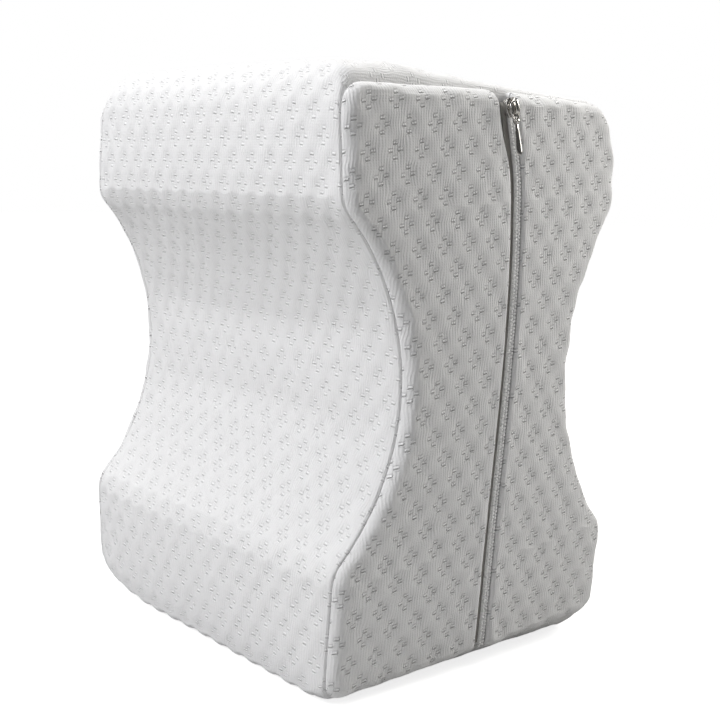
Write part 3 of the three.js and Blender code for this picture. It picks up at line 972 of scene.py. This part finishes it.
def zip_strip(left, right, below, thickness, columns):
    """A thin strip that follows the zip's line, between two depths below the panels' skin."""
    rows = round((ZIP_TOP - ZIP_BOTTOM) / STRIP_ROW)
    bm = bmesh.new()
    bmesh.ops.create_grid(bm, x_segments=columns, y_segments=rows, size=1)
    across_zip = bm.verts.layers.float.new("across")
    for vert in bm.verts:
        z = lerp(ZIP_BOTTOM, ZIP_TOP, (vert.co.y + 1) / 2)
        vert[across_zip] = lerp(left, right, (vert.co.x + 1) / 2)
        vert.co = (zip_x(z) + vert[across_zip], near_y(z, below - thickness), z)
    bmesh.ops.recalc_face_normals(bm, faces=bm.faces)
    bmesh.ops.solidify(bm, geom=bm.faces[:], thickness=thickness)
    bmesh.ops.recalc_face_normals(bm, faces=bm.faces)
    return bm


class CUSHION_OT_zip_tape(bpy.types.Operator):
    """Build the woven tape that carries the coil."""
    bl_idname = "cushion.zip_tape"
    bl_label = "Zip tape"

    def execute(self, context):
        settings = context.scene.cushion_zip
        tape = tape_material("woven_polyester_tape", settings.tape)
        bm = zip_strip(TAPE["gap"] - SLOT["left"], SLOT["right"] - TAPE["gap"], TAPE["below"],
                       TAPE["thickness"], TAPE["columns"])
        piece = new_piece(bm, "zip_tape_woven", tape)
        place_on(piece, "zip_tape")
        return {"FINISHED"}


class CUSHION_OT_zip_coil(bpy.types.Operator):
    """Build the closed coil: two columns of small turns on a thin core."""
    bl_idname = "cushion.zip_coil"
    bl_label = "Zip coil"

    def execute(self, context):
        settings = context.scene.cushion_zip
        coil = coil_material("nylon_coil", settings.coil)
        pitch = settings.coil_pitch / MM
        bm = zip_strip(**COIL)
        count = int((SLIDER_BOTTOM - ZIP_BOTTOM - 2 * TURNS_START) / (pitch / 2))
        for i in range(count):
            z = ZIP_BOTTOM + TURNS_START + i * pitch / 2
            side = 1 if i % 2 else -1
            x = zip_x(z) + TURN["middle"] + side * TURN["apart"]
            lean = math.atan2(near_y(z + 1, CHAIN_SKIN) - near_y(z - 1, CHAIN_SKIN), 2)
            spot = Matrix.Translation((x, near_y(z, TURN["below"]), z))
            tilt = Matrix.Rotation(-lean, 4, "X") @ Matrix.Rotation(-side * TURN["lean"], 4, "Y")
            size = Matrix.Diagonal((*TURN["size"], 1.0))
            bmesh.ops.create_uvsphere(bm, u_segments=8, v_segments=5, radius=1,
                                      matrix=spot @ tilt @ size)
        piece = new_piece(bm, "zip_coil_turns", coil)
        place_on(piece, "zip_chain")
        return {"FINISHED"}


def metal_place():
    """Where the metal pieces hang, turned to lie along the chain."""
    climb = SLIDER_LENGTH / 2
    lean_in = near_y(SLIDER_BOTTOM + climb, CHAIN_SKIN) - near_y(SLIDER_BOTTOM, CHAIN_SKIN)
    lean_across = zip_x(SLIDER_BOTTOM + climb) - zip_x(SLIDER_BOTTOM)
    spot = (zip_x(SLIDER_BOTTOM), near_y(SLIDER_BOTTOM, CHAIN_SKIN), SLIDER_BOTTOM)
    return (Matrix.Translation(spot) @ Matrix.Rotation(math.atan2(lean_across, climb), 4, "Y")
            @ Matrix.Rotation(-math.atan2(lean_in, climb), 4, "X"))


def plate(bm, outline, y_near, y_far, bevel):
    """A plate with an outline in X and Z, from one Y to another, with its edges rounded."""
    verts = [bm.verts.new((x, y_near, z)) for x, z in outline]
    face = bm.faces.new(verts)
    made = bmesh.ops.extrude_face_region(bm, geom=[face])["geom"]
    raised = [item for item in made if isinstance(item, bmesh.types.BMVert)]
    bmesh.ops.translate(bm, vec=(0, y_far - y_near, 0), verts=raised)
    ours = set(verts) | set(raised)
    faces = [item for item in bm.faces if all(vert in ours for vert in item.verts)]
    bmesh.ops.recalc_face_normals(bm, faces=faces)
    edges = list({edge for item in faces for edge in item.edges})
    bmesh.ops.bevel(bm, geom=edges, offset=bevel, affect="EDGES", segments=3, profile=0.5,
                    material=-1)


def sweep(bm, section, flat, path, closed):
    """A bar along a path that lies in the plane across the flat axis: its section turns with it."""
    count = len(path)
    loops = []
    for i, point in enumerate(path):
        ahead = path[(i + 1) % count] if closed or i + 1 < count else point
        behind = path[i - 1] if closed or i else point
        out = (ahead - behind).cross(flat).normalized()
        loops.append([bm.verts.new(point + flat * u + out * v) for u, v in section])
    size = len(section)
    for i in range(count if closed else count - 1):
        first, second = loops[i], loops[(i + 1) % count]
        for n in range(size):
            m = (n + 1) % size
            bm.faces.new((first[n], first[m], second[m], second[n]))
    if not closed:
        bm.faces.new(loops[0])
        bm.faces.new(loops[-1])


def round_section(radius, sides=12):
    angles = [2 * math.pi * i / sides for i in range(sides)]
    return [(radius * math.cos(angle), radius * math.sin(angle)) for angle in angles]


def soft_section(width, thickness, corner):
    """A flat bar's section with rounded corners."""
    points = []
    for cx, cz, start in ((1, 1, 0), (-1, 1, 90), (-1, -1, 180), (1, -1, 270)):
        for step in range(4):
            angle = math.radians(start + step * 30)
            points.append((cx * (width / 2 - corner) + corner * math.cos(angle),
                           cz * (thickness / 2 - corner) + corner * math.sin(angle)))
    return points


def make_slider():
    bm = bmesh.new()
    shield = [(-2.3, 0), (2.3, 0), (3.0, 1.4), (3.4, 3.4), (3.4, 5.4), (2.9, 7.0), (1.9, 8.0),
              (-1.9, 8.0), (-2.9, 7.0), (-3.4, 5.4), (-3.4, 3.4), (-3.0, 1.4)]
    plate(bm, shield, -0.3, -1.4, 0.3)
    for side in (-1, 1):
        inner, outer = 2.72 * side, 3.4 * side
        rail = [(inner, 0.9), (outer, 2.2), (outer, 6.4), (inner, 7.4)]
        plate(bm, rail, 0.95, -0.8, 0.18)
    arch = [Vector((0, y, z)) for y, z in (
        (-1.0, 1.45), (-1.9, 1.42), (-2.9, 1.5), (-3.45, 1.85), (-3.72, 2.5), (-3.78, 3.4),
        (-3.78, 4.4), (-3.78, 5.4), (-3.72, 6.3), (-3.45, 6.95), (-2.9, 7.3), (-1.9, 7.38),
        (-1.0, 7.35))]
    sweep(bm, soft_section(1.5, 0.8, 0.25), Vector((1, 0, 0)), arch, closed=False)
    bmesh.ops.recalc_face_normals(bm, faces=bm.faces)
    return bm


# The link in millimetres: its top, half its height, how far it hangs in front, and its wire. The
# taper narrows its foot, and the widening makes up for that at its widest
LINK_TOP, LINK_REACH, LINK_OUT = 6.25, 4.0, 2.35
LINK_HALF_WIDTH, LINK_TAPER, LINK_WIDENING, LINK_RADIUS = 2.5, 0.28, 1.075, 0.45


def link_path(steps=40):
    """The link's wire: wide and round at its top, drawn in to a narrow foot."""
    path = []
    for i in range(steps):
        angle = 2 * math.pi * i / steps
        taper = (1 + LINK_TAPER * math.cos(angle)) / LINK_WIDENING
        path.append(Vector((LINK_HALF_WIDTH * math.sin(angle) * taper, -LINK_OUT,
                            LINK_TOP - LINK_REACH + LINK_REACH * math.cos(angle))))
    return path


def make_link():
    bm = bmesh.new()
    sweep(bm, round_section(LINK_RADIUS), Vector((0, 1, 0)), link_path(), closed=True)
    bmesh.ops.recalc_face_normals(bm, faces=bm.faces)
    return bm


# The drop of the pull from its neck down: height, half width and half thickness
DROP = [(-0.95, 0.6, 0.3), (-1.5, 0.95, 0.42), (-4.0, 1.15, 0.45), (-7.0, 1.34, 0.45),
        (-9.6, 1.54, 0.45), (-11.4, 1.65, 0.44), (-12.6, 1.58, 0.4), (-13.4, 1.2, 0.32),
        (-13.8, 0.7, 0.2), (-13.9, 0.2, 0.08)]


# The pull's collar around the link's foot: the bar's width, thickness and corner are in order
COLLAR = {"radius": 1.12, "sides": 24, "bar": (1.4, 0.46, 0.18), "rise": 0.08}


def make_pull():
    """The pull: a rounded drop under a collar, hanging on the link."""
    bm = bmesh.new()
    sides = 20
    bmesh.ops.create_circle(bm, cap_ends=True, segments=sides, radius=1)
    turn = bm.verts.layers.float.new("turn")
    for vert in bm.verts:
        vert[turn] = math.atan2(vert.co.y, vert.co.x)
    edges = list(bm.edges)

    def shape_ring(verts, shape):
        height, wide, thick = shape
        for vert in verts:
            vert.co = (wide * math.cos(vert[turn]), thick * math.sin(vert[turn]), height)

    shape_ring(bm.verts, DROP[0])
    for shape in DROP[1:]:
        fresh, edges = extrude_rim(bm, edges)
        shape_ring(fresh, shape)
    bmesh.ops.holes_fill(bm, edges=edges, sides=sides)
    ring = [Vector((0, y, z)) for y, z in round_section(COLLAR["radius"], COLLAR["sides"])]
    sweep(bm, soft_section(*COLLAR["bar"]), Vector((1, 0, 0)), ring, closed=True)
    bmesh.ops.recalc_face_normals(bm, faces=bm.faces)
    hang = LINK_TOP - 2 * LINK_REACH + COLLAR["rise"]
    bmesh.ops.translate(bm, vec=(0, -LINK_OUT, hang), verts=bm.verts)
    return bm


class CUSHION_OT_zip_metal(bpy.types.Operator):
    """Build the slider with its bridge, the link and the drop-shaped pull."""
    bl_idname = "cushion.zip_metal"
    bl_label = "Slider and pull"

    def execute(self, context):
        settings = context.scene.cushion_zip
        nickel = nickel_material("polished_nickel", settings.metal)
        where = metal_place()
        for name, make, node in (("slider_body", make_slider, "zip_slider"),
                                 ("slider_link", make_link, "zip_link"),
                                 ("slider_pull", make_pull, "zip_pull")):
            bm = make()
            bmesh.ops.transform(bm, matrix=where, verts=bm.verts)
            piece = new_piece(bm, name, nickel)
            place_on(piece, node)
        return {"FINISHED"}


def soft_light(name, spot, size, watts, colour):
    light = bpy.data.lights.new(name, "AREA")
    light.color = linear(colour)[:3]
    light.shape = "RECTANGLE"
    light.size, light.size_y = size
    light.energy = watts
    lamp = bpy.data.objects.new(name, light)
    lamp.location = spot
    aim = Vector(LIGHT_TARGET) - Vector(spot)
    lamp.rotation_euler = aim.to_track_quat("-Z", "Y").to_euler()
    bpy.context.scene.collection.objects.link(lamp)


class CUSHION_OT_stage(bpy.types.Operator):
    """Lay the floor, hang the lights and stand the camera where the photo was taken."""
    bl_idname = "cushion.stage"
    bl_label = "Stage"

    def execute(self, context):
        settings = context.scene.cushion_stage
        scene = context.scene
        bm = bmesh.new()
        bmesh.ops.create_grid(bm, x_segments=12, y_segments=12, size=FLOOR_HALF)
        paper = stage_material("white_paper", settings.floor, settings.glow)
        floor = new_piece(bm, "paper_floor", paper)

        world = bpy.data.worlds.new("white_room")
        world.use_nodes = True
        room = world.node_tree
        room.nodes.clear()
        path = add(room, "LightPath")
        glint = add(room, "Mix", {"Factor": path.outputs["Is Glossy Ray"],
                                            "A": settings.sky, "B": settings.glint})
        seen = add(room, "Mix", {"Factor": path.outputs["Is Camera Ray"],
                                           "A": glint, "B": 1.0})
        light = add(room, "Background", {"Strength": seen, "Color": (1, 1, 1, 1)})
        add(room, "OutputWorld", {"Surface": light})
        scene.world = world
        for name, (spot, size, colour) in LIGHTS.items():
            soft_light(name, spot, size, getattr(settings, name), colour)

        camera = bpy.data.cameras.new("camera")
        camera.sensor_width = CAMERA["sensor"]
        camera.lens = settings.lens
        camera.clip_start = CAMERA["near"]
        eye = bpy.data.objects.new("camera", camera)
        forward = Vector(CAMERA["forward"]).normalized()
        right = forward.cross(Vector(CAMERA["up"])).normalized()
        up = right.cross(forward).normalized()
        turned = Matrix((right, up, -forward)).transposed().to_4x4()
        eye.matrix_world = Matrix.Translation(CAMERA["place"]) @ turned
        scene.collection.objects.link(eye)
        scene.camera = eye
        scene.view_settings.view_transform = "Standard"
        return {"FINISHED"}


class CUSHION_PT_panel(bpy.types.Panel):
    bl_label = "Knee Cushion"
    bl_idname = "CUSHION_PT_panel"
    bl_space_type = "VIEW_3D"
    bl_region_type = "UI"
    bl_category = "Knee Cushion"

    def draw(self, context):
        for group in (context.scene.cushion_knit, context.scene.cushion_zip,
                      context.scene.cushion_stage):
            box = self.layout.box()
            for name in group.__annotations__:
                box.prop(group, name)
        for operator in OPERATORS:
            self.layout.operator(operator.bl_idname)


OPERATORS = (CUSHION_OT_wrap, CUSHION_OT_panels, CUSHION_OT_zip_tape, CUSHION_OT_zip_coil,
             CUSHION_OT_zip_metal, CUSHION_OT_stage)
GROUPS = {"cushion_knit": KnitSettings, "cushion_zip": ZipSettings, "cushion_stage": StageSettings}


def register():
    for kind in (*GROUPS.values(), *OPERATORS, CUSHION_PT_panel):
        bpy.utils.register_class(kind)
    for name, kind in GROUPS.items():
        setattr(bpy.types.Scene, name, bpy.props.PointerProperty(type=kind))


def unregister():
    for name in GROUPS:
        delattr(bpy.types.Scene, name)
    for kind in (CUSHION_PT_panel, *reversed(OPERATORS), *GROUPS.values()):
        bpy.utils.unregister_class(kind)


def main():
    register()
    bpy.ops.cushion.wrap()
    bpy.ops.cushion.panels()
    bpy.ops.cushion.zip_tape()
    bpy.ops.cushion.zip_coil()
    bpy.ops.cushion.zip_metal()
    bpy.ops.cushion.stage()


if __name__ == "__main__":
    main()
